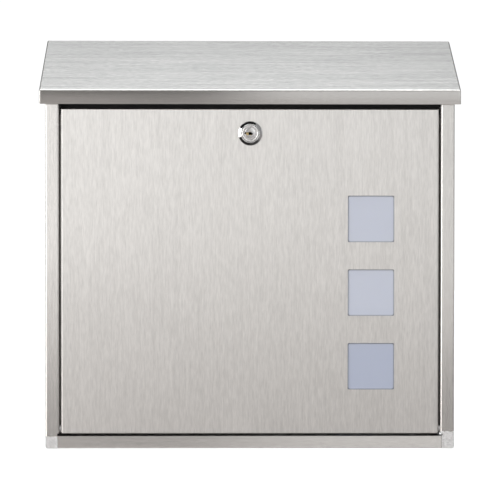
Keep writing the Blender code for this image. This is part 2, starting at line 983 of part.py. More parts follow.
# Cam: pointing left at rest, which is unlocked; a quarter turn brings it up behind the rail.
cam_outline = []
for k in range(13):
    a = math.radians(-90 + 180 * k / 12)
    cam_outline.append((8.0 * math.cos(a), LOCK_Z + 8.0 * math.sin(a)))
for k in range(9):
    a = math.radians(90 + 180 * k / 8)
    cam_outline.append((-(CAM_REACH - 5.0) + 5.0 * math.cos(a), LOCK_Z + 5.0 * math.sin(a)))
cam = finish(prism(cam_outline, "y", CAM_Y0, CAM_Y1), "lock_cam", ZINC, PLUG)
s = CAM_SQUARE / 2 + 0.2
boolean(
    cam,
    cutter(
        block(-s, s, CAM_Y0 - 2, CAM_Y1 + 2, LOCK_Z - s, LOCK_Z + s), "cam_square", PLUG
    ),
)
y0 = CAM_Y1 + 0.2 + GAP
finish(
    turned([(2.2, y0), (5.6, y0), (5.6, y0 + 0.8), (2.2, y0 + 0.8)], 24, "y", (0, 0, LOCK_Z)),
    "lock_cam_washer",
    ZINC,
    PLUG,
    smooth=40,
)
y1 = y0 + 0.8 + GAP
screw = finish(
    turned(
        [
            (0, -91.0),
            (1.6, -91.0),
            (1.9, -90.6),
            (1.9, y1),
            (4.0, y1),
            (4.0, y1 + 1.4),
            (3.2, y1 + 2.2),
            (1.6, y1 + 2.5),
            (0, y1 + 2.5),
        ],
        24,
        "y",
        (0, 0, LOCK_Z),
    ),
    "lock_cam_screw",
    ZINC,
    PLUG,
    smooth=40,
)
boolean(
    screw,
    cutter(
        prism(
            [
                (2.4, LOCK_Z - 0.4),
                (2.4, LOCK_Z + 0.4),
                (0.4, LOCK_Z + 0.4),
                (0.4, LOCK_Z + 2.4),
                (-0.4, LOCK_Z + 2.4),
                (-0.4, LOCK_Z + 0.4),
                (-2.4, LOCK_Z + 0.4),
                (-2.4, LOCK_Z - 0.4),
                (-0.4, LOCK_Z - 0.4),
                (-0.4, LOCK_Z - 2.4),
                (0.4, LOCK_Z - 2.4),
                (0.4, LOCK_Z - 0.4),
            ],
            "y",
            y1 + 1.2,
            y1 + 5.0,
        ),
        "screw_cross",
        PLUG,
    ),
)
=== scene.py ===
import json
import math

import bmesh
import bpy
from mathutils import Matrix, Vector


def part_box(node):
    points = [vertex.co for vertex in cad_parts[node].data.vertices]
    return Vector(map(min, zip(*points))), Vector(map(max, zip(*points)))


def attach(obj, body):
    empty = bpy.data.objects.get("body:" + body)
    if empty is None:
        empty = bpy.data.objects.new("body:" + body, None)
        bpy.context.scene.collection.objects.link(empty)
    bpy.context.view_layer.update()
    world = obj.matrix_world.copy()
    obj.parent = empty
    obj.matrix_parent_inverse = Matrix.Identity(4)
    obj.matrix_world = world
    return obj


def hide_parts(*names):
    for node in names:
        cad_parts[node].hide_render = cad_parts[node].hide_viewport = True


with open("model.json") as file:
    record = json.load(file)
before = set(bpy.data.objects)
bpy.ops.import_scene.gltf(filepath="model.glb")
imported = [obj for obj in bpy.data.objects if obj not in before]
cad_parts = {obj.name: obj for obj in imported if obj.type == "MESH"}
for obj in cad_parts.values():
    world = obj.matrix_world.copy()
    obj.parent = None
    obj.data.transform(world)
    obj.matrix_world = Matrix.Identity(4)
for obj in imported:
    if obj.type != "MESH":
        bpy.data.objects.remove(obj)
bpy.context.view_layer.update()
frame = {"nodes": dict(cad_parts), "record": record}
NODES = frame["nodes"]

# Faces of the box that the looks refer to, in metres in the row frame.
BOX_LOW, BOX_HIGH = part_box("bottom_panel")
UNDERSIDE = BOX_LOW.z
DOOR_LOW, DOOR_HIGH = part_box("door_panel")
FRONT = DOOR_LOW.y
LOCK_LOW, LOCK_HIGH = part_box("lock_housing")
LOCK_Z = (LOCK_LOW.z + LOCK_HIGH.z) / 2


# ================================================================ node arithmetic
class Graph:
    """A node tree with short ways to add nodes."""

    def __init__(self, tree):
        self.tree = tree

    def node(self, kind, **settings):
        n = self.tree.nodes.new(kind)
        for key, value in settings.items():
            setattr(n, key, value)
        return n

    def put(self, socket, value):
        if isinstance(value, Num):
            value = value.socket
        if isinstance(value, bpy.types.NodeSocket):
            self.tree.links.new(value, socket)
        else:
            socket.default_value = value

    def num(self, socket):
        return Num(self, socket)

    def math(self, operation, *values, clamp=False):
        n = self.node("ShaderNodeMath", operation=operation, use_clamp=clamp)
        for i, v in enumerate(values):
            self.put(n.inputs[i], v)
        return Num(self, n.outputs[0])

    def step(self, x, low, high):
        """0 below low, 1 above high, smooth between them."""
        n = self.node("ShaderNodeMapRange", interpolation_type="SMOOTHSTEP")
        if low > high:
            self.put(n.inputs["Value"], x)
            n.inputs["From Min"].default_value = high
            n.inputs["From Max"].default_value = low
            n.inputs["To Min"].default_value = 1.0
            n.inputs["To Max"].default_value = 0.0
        else:
            self.put(n.inputs["Value"], x)
            n.inputs["From Min"].default_value = low
            n.inputs["From Max"].default_value = high
        return Num(self, n.outputs["Result"])

    def split(self, vector):
        n = self.node("ShaderNodeSeparateXYZ")
        self.tree.links.new(vector, n.inputs[0])
        return [Num(self, o) for o in n.outputs]

    def join(self, x, y, z):
        n = self.node("ShaderNodeCombineXYZ")
        for i, v in enumerate((x, y, z)):
            self.put(n.inputs[i], v)
        return n.outputs[0]

    def noise(self, vector, scale=1.0, detail=2.0, roughness=0.5):
        n = self.node("ShaderNodeTexNoise", noise_dimensions="3D")
        self.tree.links.new(vector, n.inputs["Vector"])
        n.inputs["Scale"].default_value = scale
        n.inputs["Detail"].default_value = detail
        n.inputs["Roughness"].default_value = roughness
        return Num(self, n.outputs[0])

    def mix(self, t, a, b):
        n = self.node("ShaderNodeMix", data_type="FLOAT")
        self.put(n.inputs[0], t)
        self.put(n.inputs[2], a)
        self.put(n.inputs[3], b)
        return Num(self, n.outputs[0])

    def mix_colour(self, t, a, b, blend="MIX"):
        n = self.node("ShaderNodeMix", data_type="RGBA", blend_type=blend)
        self.put(n.inputs[0], t)
        for socket, v in ((n.inputs[6], a), (n.inputs[7], b)):
            if isinstance(v, (tuple, list)):
                socket.default_value = (*v[:3], 1.0)
            else:
                self.put(socket, v)
        return n.outputs[2]

    def vmath(self, operation, *values):
        n = self.node("ShaderNodeVectorMath", operation=operation)
        for i, v in enumerate(values):
            if isinstance(v, (tuple, list)):
                n.inputs[i].default_value = v
            else:
                self.put(n.inputs[i], v)
        return n


class Num:
    """A float socket that takes arithmetic."""

    def __init__(self, graph, socket):
        self.graph, self.socket = graph, socket

    def __add__(self, o):
        return self.graph.math("ADD", self, o)

    __radd__ = __add__

    def __sub__(self, o):
        return self.graph.math("SUBTRACT", self, o)

    def __rsub__(self, o):
        return self.graph.math("SUBTRACT", o, self)

    def __mul__(self, o):
        return self.graph.math("MULTIPLY", self, o)

    __rmul__ = __mul__

    def __truediv__(self, o):
        return self.graph.math("DIVIDE", self, o)

    def abs(self):
        return self.graph.math("ABSOLUTE", self)


# ================================================================ materials
def principled(name, colour, metallic, roughness):
    mat = bpy.data.materials.new(name)
    mat.use_nodes = True
    tree = mat.node_tree
    shader = tree.nodes["Principled BSDF"]
    shader.inputs["Base Color"].default_value = (*colour, 1.0)
    shader.inputs["Metallic"].default_value = metallic
    shader.inputs["Roughness"].default_value = roughness
    mat.diffuse_color = (*colour, 1.0)
    return mat, Graph(tree), shader


def scaled(colour, factor):
    return tuple(min(1.0, c * factor) for c in colour)


def brushed(
    name,
    grain,
    folded,
    size=(820.0, 105.0),
    colour=(0.68, 0.665, 0.645),
    roughness=0.30,
    anisotropic=0.9,
    streak=0.07,
    rough_vary=0.05,
    bump=0.06,
    coarse=0.45,
    long=0.13,
    patch=None,
    bow=None,
):
    """Brushed stainless sheet. The grain runs along one axis of the sheet, and along another where the
    sheet is folded so that the first axis would stick out of it."""
    mat, g, shader = principled(name, colour, 1.0, roughness)
    place = g.node("ShaderNodeTexCoord")
    x, y, z = g.split(place.outputs["Object"])
    nx, ny, nz = g.split(place.outputs["Normal"])
    axis = {"X": (1, 0, 0), "Y": (0, 1, 0), "Z": (0, 0, 1)}
    along_n = {"X": nx, "Y": ny, "Z": nz}[grain]
    on_fold = g.math("GREATER_THAN", along_n.abs(), 0.75)

    def streaks(direction, across, along, detail=2.0, rough=0.55):
        f = [along if a == direction else across for a in "XYZ"]
        return g.noise(g.join(x * f[0], y * f[1], z * f[2]), 1.0, detail, rough)

    def both(across, along, detail=2.0, rough=0.55):
        return g.mix(
            on_fold,
            streaks(grain, across, along, detail, rough),
            streaks(folded, across, along, detail, rough),
        )

    fine = both(size[0], size[1], 3.0, 0.6)
    medium = both(size[0] * 0.6, size[1] * long, 2.0, 0.6)
    broad = both(90.0, 3.0, 1.0)
    cloud = g.noise(g.join(x, y, z), 22.0, 2.0)
    strength = 1.0
    if bow:
        strength = 1.0 - g.step(ny.abs(), 0.60, 0.95) * 0.72
    level = (
        1.0
        + (fine - 0.5) * streak * strength
        + (medium - 0.5) * (streak * coarse) * strength
        + (broad - 0.5) * (streak * 0.12)
        + (cloud - 0.5) * 0.02
    )
    rough = (
        roughness
        + (medium - 0.5) * rough_vary
        + (cloud - 0.5) * (rough_vary * 0.6)
    )
    if patch:
        # The ends of the posts are ground flat over the corner weld: cloudy, and without the grain.
        mask = patch(g, x, y, z, nx, ny, nz)
        swirl = g.noise(g.join(x, y, z), 420.0, 3.0, 0.65)
        scratch = g.noise(g.join(x * 500.0 + z * 900.0, y * 500.0, z * 500.0 - x * 300.0), 1.0, 2.0, 0.6)
        level = g.mix(mask, level, 1.39 + (swirl - 0.5) * 0.9 + (scratch - 0.5) * 0.7)
        rough = g.mix(mask, rough, 0.76 + (swirl - 0.5) * 0.25)
    base = g.vmath("SCALE", colour)
    if patch:
        neutral = tuple(c * k for c, k in zip(colour, (0.965, 0.985, 1.015)))
        g.put(base.inputs[0], g.mix_colour(mask, colour, neutral))
    g.put(base.inputs["Scale"], level)
    g.put(shader.inputs["Base Color"], base.outputs[0])
    g.put(shader.inputs["Roughness"], rough)
    shader.inputs["Anisotropic"].default_value = anisotropic
    axis_here = g.mix_colour(on_fold, axis[grain], axis[folded])
    across = g.vmath("CROSS_PRODUCT", place.outputs["Normal"], axis_here)
    turn = g.node(
        "ShaderNodeVectorTransform",
        vector_type="VECTOR",
        convert_from="OBJECT",
        convert_to="WORLD",
    )
    g.put(turn.inputs[0], across.outputs[0])
    unit = g.vmath("NORMALIZE", turn.outputs[0])
    g.put(shader.inputs["Tangent"], unit.outputs[0])
    b = g.node("ShaderNodeBump")
    b.inputs["Strength"].default_value = bump
    b.inputs["Distance"].default_value = 0.0002
    g.put(b.inputs["Height"], fine * (1.0 - coarse) + medium * coarse)
    if bow:
        # The sheet is not quite flat: it springs out a few hundredths of a millimetre between its folds.
        c = g.node("ShaderNodeBump")
        c.inputs["Strength"].default_value = 1.0
        c.inputs["Distance"].default_value = 1.0
        g.put(c.inputs["Height"], bow(g, x, y, z))
        g.put(b.inputs["Normal"], c.outputs[0])
    g.put(shader.inputs["Normal"], b.outputs[0])
    return mat


def plain_metal(name, colour, roughness, spread=0.06, scale=300.0, bump=0.05, wear=0.05):
    """Plated or milled metal: fine mottling, small changes in roughness, slight orange peel."""
    mat, g, shader = principled(name, colour, 1.0, roughness)
    place = g.node("ShaderNodeTexCoord")
    at = place.outputs["Object"]
    small = g.noise(at, scale, 3.0, 0.6)
    large = g.noise(at, scale / 9.0, 2.0, 0.5)
    level = 1.0 + (small - 0.5) * wear + (large - 0.5) * wear
    base = g.vmath("SCALE", colour)
    g.put(base.inputs["Scale"], level)
    g.put(shader.inputs["Base Color"], base.outputs[0])
    g.put(
        shader.inputs["Roughness"],
        roughness + (small - 0.5) * spread + (large - 0.5) * spread,
    )
    b = g.node("ShaderNodeBump")
    b.inputs["Strength"].default_value = bump
    b.inputs["Distance"].default_value = 0.0002
    g.put(b.inputs["Height"], small)
    g.put(shader.inputs["Normal"], b.outputs[0])
    return mat


def soft_plastic(name, colour, roughness, scale, spread, bump, vary):
    mat, g, shader = principled(name, colour, 0.0, roughness)
    place = g.node("ShaderNodeTexCoord")
    at = place.outputs["Object"]
    small = g.noise(at, scale, 3.0, 0.6)
    large = g.noise(at, 60.0, 2.0, 0.5)
    base = g.vmath("SCALE", colour)
    g.put(base.inputs["Scale"], 1.0 + (small - 0.5) * vary + (large - 0.5) * vary)
    g.put(shader.inputs["Base Color"], base.outputs[0])
    g.put(shader.inputs["Roughness"], roughness + (small - 0.5) * spread)
    b = g.node("ShaderNodeBump")
    b.inputs["Strength"].default_value = bump
    b.inputs["Distance"].default_value = 0.0003
    g.put(b.inputs["Height"], small)
    g.put(shader.inputs["Normal"], b.outputs[0])
    return mat


# Centres and half size of the three cut-outs in the door.
WINDOW_X, WINDOW_HALF = 0.1094, 0.021
WINDOW_Z = tuple(UNDERSIDE + h for h in (0.2079, 0.1412, 0.0745))


def frosted(name, colour, roughness):
    """Frosted acrylic: even and milky. Painted shade makes the lowest pane darker and bluer, for the less light
    that reaches its back, and draws a thin grey line and darker corners along the cut edges of the door, where the
    door's edge shades the pane."""
    mat, g, shader = principled(name, colour, 0.0, roughness)
    place = g.node("ShaderNodeTexCoord")
    at = place.outputs["Object"]
    x, y, z = g.split(at)
    small = g.noise(at, 1900.0, 2.0, 0.6)
    large = g.noise(at, 45.0, 2.0, 0.5)
    # painted shade: the lowest pane is made darker and bluer, for the less light that reaches its back
    low = g.step(z, -0.045, -0.100)
    base = g.vmath("MULTIPLY", g.mix_colour(low, (1.0, 1.0, 1.0), (0.785, 0.81, 0.865)), colour)
    shade = 1.0
    # painted shade: a thin grey line along each cut edge of the door and darker corners, where the door's edge
    # shades the pane
    for centre in WINDOW_Z:
        out_x = (x - WINDOW_X).abs() - WINDOW_HALF
        out_z = (z - centre).abs() - WINDOW_HALF
        painted_edge_shade = g.step(g.math("MAXIMUM", out_x, out_z), -0.00115, -0.00035)
        corner = g.step(out_x + out_z, -0.0034, -0.0012)
        here = g.step((z - centre).abs(), 0.026, 0.024)
        shade = shade * (1.0 - painted_edge_shade * here * 0.36) * (1.0 - corner * here * 0.38)
    lit = g.vmath("SCALE", base.outputs[0])
    g.put(lit.inputs["Scale"], (1.0 + (small - 0.5) * 0.03 + (large - 0.5) * 0.03) * shade)
    g.put(shader.inputs["Base Color"], lit.outputs[0])
    g.put(shader.inputs["Roughness"], roughness + (small - 0.5) * 0.12)
    shader.inputs["Subsurface Weight"].default_value = 0.25
    shader.inputs["Subsurface Radius"].default_value = (0.004, 0.004, 0.005)
    shader.inputs["Subsurface Scale"].default_value = 1.0
    b = g.node("ShaderNodeBump")
    b.inputs["Strength"].default_value = 0.15
    b.inputs["Distance"].default_value = 0.0002
    g.put(b.inputs["Height"], small)
    g.put(shader.inputs["Normal"], b.outputs[0])
    return mat


def weld_patch(g, x, y, z, nx, ny, nz):
    """1 on the ground corner at the foot of each post, 0 elsewhere; its edge is a little ragged."""
    front = g.math("LESS_THAN", ny, -0.5)
    ragged = (g.noise(g.join(x, y, z), 260.0, 2.0, 0.6) - 0.5) * 0.0022
    right_side = g.math("GREATER_THAN", x, 0.0)
    top = g.mix(right_side, UNDERSIDE + 0.0112, UNDERSIDE + 0.0158)
    fade = g.mix(right_side, 0.0009, 0.0004)
    t = (top + ragged - z) / fade
    inside = g.math("MINIMUM", g.math("MAXIMUM", t, 0.0), 1.0)
    return front * inside


LID_LOW, LID_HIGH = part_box("lid_shell")
LIP_Z0, LIP_Z1 = 0.1311, 0.1425


def lid_bow(g, x, y, z):
    """Height in metres of the crown of the lid's slope and of its front lip."""
    slope = y - (LID_LOW.y + LID_HIGH.y) / 2
    lip = g.math("MINIMUM", z, LIP_Z1) - (LIP_Z0 + LIP_Z1) / 2
    return slope * slope * -0.18 + lip * lip * -10.0


STEEL_BODY = brushed("steel_body", "Z", "Y", roughness=0.23, anisotropic=1.0, streak=0.28, rough_vary=0.03, patch=weld_patch)
STEEL_BOTTOM = brushed("steel_bottom", "X", "Z", colour=(0.787, 0.770, 0.747), roughness=0.26, anisotropic=0.98, streak=0.28, rough_vary=0.03)
STEEL_DOOR = brushed("steel_door", "Z", "Y", colour=(0.636, 0.623, 0.604), size=(880.0, 115.0), roughness=0.355, anisotropic=0.95, streak=0.44, coarse=0.32)
STEEL_LID = brushed("steel_lid", "X", "Z", size=(820.0, 230.0), coarse=0.55, long=0.035, roughness=0.205, anisotropic=0.98, streak=0.66, rough_vary=0.03, bump=0.03, bow=lid_bow)
STEEL_PLATE = brushed(
    "steel_plate", "X", "Z", colour=(0.60, 0.59, 0.575), roughness=0.40, anisotropic=0.4, streak=0.15
)
CHROME = plain_metal("lock_chrome", (0.80, 0.80, 0.80), 0.05, spread=0.02, bump=0.01, wear=0.02)
SATIN = plain_metal("lock_satin", (0.74, 0.735, 0.73), 0.24, spread=0.10, scale=700.0, bump=0.08)
ZINC = plain_metal("zinc", (0.60, 0.61, 0.62), 0.34, spread=0.10, bump=0.06, wear=0.10)
BRASS = plain_metal("brass", (0.74, 0.55, 0.25), 0.28, spread=0.10, bump=0.04, wear=0.10)
# Black rubber for the bumpers; the same material colours the seal strip in the slot under the lid, a black strip
# put there as painted shade for the dark slot.
RUBBER_AND_SLOT_SHADE = soft_plastic("rubber", (0.025, 0.025, 0.026), 0.75, 900.0, 0.15, 0.25, 0.3)
NYLON = soft_plastic("nylon", (0.36, 0.355, 0.35), 0.45, 700.0, 0.10, 0.10, 0.06)
ACRYLIC = frosted("acrylic", (0.578, 0.613, 0.713), 0.36)
# painted shade: near-black for the walls inside the keyhole, where shade falls deep in the slot
KEYWAY_PAINTED_SHADE = plain_metal("keyway_painted_shade", (0.035, 0.034, 0.033), 0.55, spread=0.2, bump=0.05, wear=0.4)

BY_SLOT = {
    "steel_body": STEEL_BODY,
    "steel_door": STEEL_DOOR,
    "steel_lid": STEEL_LID,
    "steel_plate": STEEL_PLATE,
    "lock_chrome": CHROME,
    "lock_satin": SATIN,
    "zinc": ZINC,
    "brass": BRASS,
    "acrylic": ACRYLIC,
    "rubber": RUBBER_AND_SLOT_SHADE,
    "nylon": NYLON,
}
SLOT_OF = {row["node"]: row["material_slot"] for row in frame["record"]["subparts"]}
for n, o in NODES.items():
    mat = BY_SLOT[SLOT_OF[n]]
    if n == "bottom_panel":
        mat = STEEL_BOTTOM
    o.data.materials.clear()
    o.data.materials.append(mat)
    for p in o.data.polygons:
        p.material_index = 0


# ================================================================ edges of the carried-over sheets
def crisp(obj, width, segments=2, angle=32.0):
    """Breaks the sharp edges by a hair, and shades flats and bends smoothly."""
    for p in obj.data.polygons:
        p.use_smooth = True
    w = obj.modifiers.new("weld", "WELD")
    w.merge_threshold = 0.000002
    d = obj.modifiers.new("flats", "DECIMATE")
    d.decimate_type = "DISSOLVE"
    d.angle_limit = math.radians(0.3)
    b = obj.modifiers.new("edge", "BEVEL")
    b.width = width
    b.segments = segments
    b.limit_method = "ANGLE"
    b.angle_limit = math.radians(angle)
    b.use_clamp_overlap = True
    n = obj.modifiers.new("normals", "WEIGHTED_NORMAL")
    n.mode = "FACE_AREA"
    n.weight = 50


for n, o in NODES.items():
    crisp(o, 0.00015)

# ================================================================ detailed pieces
MM = 0.001
F = FRONT / MM  # front face of the door, in mm


def piece(name, bm, mat, body, stands_for=(), sharp=35.0):
    bmesh.ops.remove_doubles(bm, verts=bm.verts, dist=1e-8)
    bmesh.ops.recalc_face_normals(bm, faces=bm.faces)
    mesh = bpy.data.meshes.new(name)
    bm.to_mesh(mesh)
    bm.free()
    mesh.shade_smooth()
    mesh.set_sharp_from_angle(angle=math.radians(sharp))
    mesh.materials.append(mat)
    o = bpy.data.objects.new(name, mesh)
    bpy.context.scene.collection.objects.link(o)
    if body:
        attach(o, body)
    if stands_for:
        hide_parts(*stands_for)
    return o


def lathe(profile, n, cx, cz, thread=None):
    """Turns a closed profile of (radius, y) in mm about an axis along Y. A thread is (y0, y1, radius, pitch,
    depth): profile points on that radius between y0 and y1 follow a helix."""
    bm = bmesh.new()
    rings = []
    for k in range(n):
        a = 2 * math.pi * k / n
        ring = []
        for r, y in profile:
            if thread and abs(r - thread[2]) < 1e-6 and thread[0] < y < thread[1]:
                t = (y / thread[3] - k / n) % 1.0
                fade = min(1.0, (y - thread[0]) / thread[3], (thread[1] - y) / thread[3])
                r = r - thread[4] * (1.0 - abs(2.0 * t - 1.0)) * fade
            ring.append(bm.verts.new(((cx + r * math.cos(a)) * MM, y * MM, (cz + r * math.sin(a)) * MM)))
        rings.append(ring)
    m = len(profile)
    for k in range(n):
        p, q = rings[k], rings[(k + 1) % n]
        for j in range(m):
            i = (j + 1) % m
            if profile[j][0] < 1e-9 and profile[i][0] < 1e-9:
                continue
            corners = [p[j], q[j], q[i], p[i]]
            if profile[j][0] < 1e-9:
                corners = [p[j], q[i], p[i]]
            elif profile[i][0] < 1e-9:
                corners = [p[j], q[j], p[i]]
            bm.faces.new(corners)
    bmesh.ops.remove_doubles(bm, verts=bm.verts, dist=1e-8)
    return bm


def extruded(outline, y0, y1):
    """A prism along Y of an outline of (x, z) in mm."""
    bm = bmesh.new()
    low = [bm.verts.new((x * MM, y0 * MM, z * MM)) for x, z in outline]
    high = [bm.verts.new((x * MM, y1 * MM, z * MM)) for x, z in outline]
    n = len(outline)
    bm.faces.new(low)
    bm.faces.new(high[::-1])
    for i in range(n):
        j = (i + 1) % n
        bm.faces.new((low[i], high[i], high[j], low[j]))
    bmesh.ops.recalc_face_normals(bm, faces=bm.faces)
    return bm


def cut(bm, cutters, operation="DIFFERENCE"):
    """Boolean of a bmesh with others, as a new bmesh."""
    def temp(b):
        mesh = bpy.data.meshes.new("temp")
        bmesh.ops.recalc_face_normals(b, faces=b.faces)
        b.to_mesh(mesh)
        b.free()
        o = bpy.data.objects.new("temp", mesh)
        bpy.context.scene.collection.objects.link(o)
        return o

    o = temp(bm)
    others = [temp(c) for c in cutters]
    for c in others:
        b = o.modifiers.new("cut", "BOOLEAN")
        b.operation = operation
        b.solver = "EXACT"
        b.object = c
    mesh = bpy.data.meshes.new_from_object(o.evaluated_get(bpy.context.evaluated_depsgraph_get()))
    result = bmesh.new()
    result.from_mesh(mesh)
    for x in [o] + others:
        bpy.data.objects.remove(x, do_unlink=True)
    bpy.data.meshes.remove(mesh)
    return result


def threaded_run(radius, y0, y1, pitch):
    steps = max(2, int(round((y1 - y0) / (pitch / 6.0))))
    return [(radius, y0 + (y1 - y0) * i / steps) for i in range(steps + 1)]


def hexagon(r_flat, cx, cz, turn=0.0):
    r = r_flat / math.cos(math.radians(30))
    return [
        (cx + r * math.cos(math.radians(turn + 60 * k)), cz + r * math.sin(math.radians(turn + 60 * k)))
        for k in range(6)
    ]


def hex_nut(r_flat, bore, y0, y1, cx, cz, turn=0.0):
    """Hexagon nut: corners chamfered on both faces, chamfered bore."""
    r = r_flat / math.cos(math.radians(30))
    c = (r - r_flat) * 0.62
    limit = lathe(
        [(0, y0), (r_flat - 0.05, y0), (r + 0.02, y0 + c), (r + 0.02, y1 - c), (r_flat - 0.05, y1), (0, y1)],
        72, cx, cz,
    )
    e = min(0.35, (y1 - y0) * 0.12)
    hole = lathe(
        [(0, y0 - 1), (bore + e + 1, y0 - 1), (bore, y0 + e), (bore, y1 - e), (bore + e + 1, y1 + 1), (0, y1 + 1)],
        48, cx, cz,
    )
    body = cut(extruded(hexagon(r_flat, cx, cz, turn), y0, y1), [limit], "INTERSECT")
    return cut(body, [hole])


LZ = LOCK_Z / MM
BARREL_END = LOCK_HIGH.y / MM
# Bezel: one polished cone round the plug, with a thin rolled rim at each side; threaded barrel behind.
bezel_profile = [
    (8.13, F - 1.95),
    (8.13, F - 2.28),
    (8.16, F - 2.37),
    (8.22, F - 2.385),
    (8.28, F - 2.362),
    (8.60, F - 2.154),
    (9.20, F - 1.765),
    (9.80, F - 1.375),
    (10.40, F - 0.985),
    (10.86, F - 0.687),
    (10.96, F - 0.60),
    (11.00, F - 0.45),
    (11.00, F - 0.30),
    (9.50, F - 0.30),
] + threaded_run(9.50, F + 2.2, BARREL_END - 0.4, 1.0) + [
    (9.15, BARREL_END),
    (6.45, BARREL_END),
    (6.20, BARREL_END - 0.25),
    (6.20, F + 0.10),
    (8.13, F + 0.10),
]
piece(
    "lock_bezel",
    lathe(bezel_profile, 96, 0.0, LZ, thread=(F + 2.2, BARREL_END - 0.4, 9.50, 1.0, 0.32)),
    CHROME, "door", ["lock_housing"],
)
nut_low, nut_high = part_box("lock_nut")
piece(
    "lock_nut_hex",
    hex_nut(12.0, 9.72, nut_low.y / MM, nut_high.y / MM, 0.0, LZ),
    ZINC, "door", ["lock_nut"], 30.0,
)

# Plug: satin face with a fine turned groove, and a horizontal keyhole for a double-bitted key.
plug_low, plug_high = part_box("lock_plug")
CAM_Y0, CAM_TOP = -86.5, plug_high.y / MM
plug = lathe(
    [
        (0, F - 2.00),
        (4.95, F - 2.00),
        (5.15, F - 1.93),
        (5.40, F - 1.66),
        (5.60, F - 1.20),
        (5.95, F - 1.20),
        (6.12, F - 1.66),
        (6.30, F - 1.93),
        (6.55, F - 2.06),
        (6.90, F - 2.08),
        (7.25, F - 1.98),
        (7.55, F - 1.74),
        (7.78, F - 1.42),
        (7.92, F - 1.00),
        (7.95, F - 0.30),
        (6.00, F - 0.30),
        (6.00, CAM_Y0 - 0.30),
        (0, CAM_Y0 - 0.30),
    ],
    96, 0.0, LZ,
)
s_ = 3.5
tenon = extruded(
    [(-s_, LZ - s_), (s_, LZ - s_), (s_, LZ + s_), (-s_, LZ + s_)], CAM_Y0 - 2.0, CAM_TOP
)
plug = cut(plug, [tenon], "UNION")
keyhole = [
    (-3.70, LZ - 0.80),
    (-2.75, LZ - 1.75),
    (-1.75, LZ - 1.75),
    (-1.25, LZ - 1.25),
    (0.40, LZ - 1.75),
    (1.75, LZ - 1.40),
    (2.45, LZ - 0.60),
    (2.20, LZ + 0.20),
    (1.25, LZ + 0.75),
    (0.45, LZ + 1.60),
    (-0.75, LZ + 1.60),
    (-1.25, LZ + 0.85),
    (-2.60, LZ + 0.95),
    (-3.70, LZ + 0.85),
]
ward = [
    (-5.15, LZ - 0.20),
    (-4.75, LZ - 0.75),
    (-3.60, LZ - 0.80),
    (-3.60, LZ + 0.85),
    (-4.60, LZ + 0.90),
    (-5.10, LZ + 0.45),
]
cutters = [extruded(keyhole, F - 4.0, -93.5), extruded(ward, F - 4.0, F - 0.70)]
screw_bore = lathe([(0, -91.5), (2.1, -91.5), (2.1, CAM_TOP + 2), (0, CAM_TOP + 2)], 32, 0.0, LZ)
cutters.append(screw_bore)
for number in range(1, 5):
    low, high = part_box(f"lock_wafer_{number}")
    wy = (low.y + high.y) / 2 / MM
    cutters.append(
        extruded([(-8, LZ - 3.4), (8, LZ - 3.4), (8, LZ + 3.4), (-8, LZ + 3.4)], wy - 0.5, wy + 0.5)
    )
plug = piece("lock_plug_face", cut(plug, cutters), SATIN, "lock_plug", ["lock_plug"], 28.0)
# painted shade: the walls inside the keyhole and ward take the near-black material
plug.data.materials.append(KEYWAY_PAINTED_SHADE)
for p in plug.data.polygons:
    at = p.center / MM
    if F - 1.99 < at.y < -93.0 and abs(at.x) < 5.3 and abs(at.z - LZ) < 1.9 and math.hypot(at.x, at.z - LZ) < 5.18:
        p.material_index = 1

# The first wafer, seen in the keyhole: a brass plate with an off-centre window.
low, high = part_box("lock_wafer_1")
wx0, wx1 = low.x / MM, high.x / MM
wz0, wz1 = low.z / MM, high.z / MM
piece(
    "lock_wafer_front",
    cut(
        extruded([(wx0, wz0), (wx1, wz0), (wx1, wz1), (wx0, wz1)], low.y / MM, high.y / MM),
        [
            extruded(
                [(-1.35, LZ - 1.3), (2.9, LZ - 1.3), (2.9, LZ + 1.3), (-1.35, LZ + 1.3)],
                low.y / MM - 1, high.y / MM + 1,
            )
        ],
    ),
    BRASS, "lock_plug", ["lock_wafer_1"], 30.0,
)

# Window studs and their nuts
for number in range(1, 5):
    low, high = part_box(f"window_stud_{number}")
    cx, cz = (low.x + high.x) / 2 / MM, (low.z + high.z) / 2 / MM
    head, r = (high.x - low.x) / 2 / MM, 1.5
    y0, y1 = low.y / MM, high.y / MM
    piece(
        f"window_stud_thread_{number}",
        lathe(
            [(0, y0), (head, y0), (head, y0 + 0.55), (r, y0 + 0.8)]
            + threaded_run(r, y0 + 1.2, y1 - 0.3, 0.5)
            + [(r - 0.3, y1), (0, y1)],
            36, cx, cz, thread=(y0 + 1.2, y1 - 0.3, r, 0.5, 0.16),
        ),
        ZINC, "door", [f"window_stud_{number}"], 60.0,
    )
    low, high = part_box(f"window_nut_{number}")
    tall = (high.z - low.z) > (high.x - low.x)
    flat = min(high.z - low.z, high.x - low.x) / 2 / MM
    piece(
        f"window_nut_hex_{number}",
        hex_nut(flat, r + 0.1, low.y / MM, high.y / MM, cx, cz, 30.0 if tall else 0.0),
        ZINC, "door", [f"window_nut_{number}"], 30.0,
    )

# ================================================================ camera
cam_data = bpy.data.cameras.new("camera")
cam_data.lens = 162.94
cam_data.sensor_width = 36.0
cam_data.sensor_fit = "AUTO"
cam_data.clip_start = 0.05
cam_data.clip_end = 100.0
cam = bpy.data.objects.new("camera", cam_data)
bpy.context.scene.collection.objects.link(cam)
turn = (
    Matrix.Rotation(math.radians(-0.892), 3, "Z")
    @ Matrix.Rotation(math.radians(-1.279), 3, "X")
    @ Matrix.Rotation(math.radians(-0.047), 3, "Y")
)
right, forward, up = turn.col[0], turn.col[1], turn.col[2]
m = Matrix.Identity(4)
for i in range(3):
    m[i][0], m[i][1], m[i][2] = right[i], up[i], -forward[i]
m.translation = Vector((-0.0319, -2.1489, 0.0454))
cam.matrix_world = m
bpy.context.scene.camera = cam

